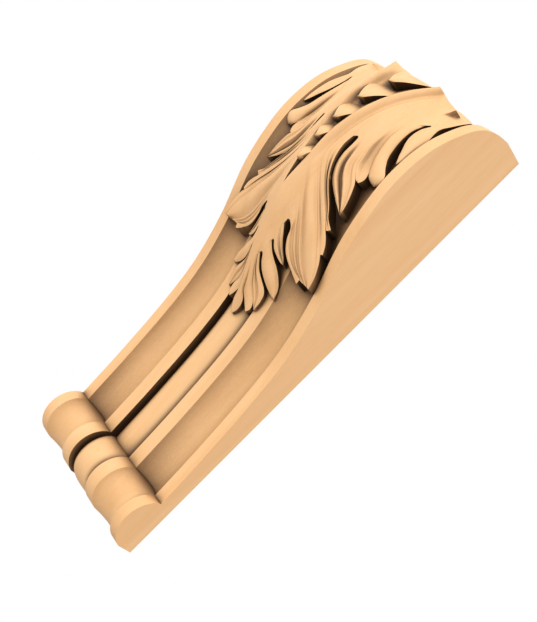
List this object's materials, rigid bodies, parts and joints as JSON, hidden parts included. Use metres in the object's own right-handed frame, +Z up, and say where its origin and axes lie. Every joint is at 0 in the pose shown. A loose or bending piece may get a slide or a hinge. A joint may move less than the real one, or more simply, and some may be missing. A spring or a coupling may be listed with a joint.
{
  "type": "decorative bracket",
  "caption": "Carved wooden scroll bracket: fluted ogee face, small roll at the foot and an acanthus leaf hanging over the bulge.",
  "frame": {"origin": "centre of the flat back face, which lies against the wall", "axes": "+Z up along the bracket from the roll to the bulge, +Y into the wall, so the carved front faces -Y; X across the width"},
  "size_m": [0.09, 0.0604, 0.25],
  "materials": {
    "carved_wood": "bare sanded wood"
  },
  "bodies": {
    "root": {"carved_bracket": "carved_wood"}
  },
  "joints": []
}
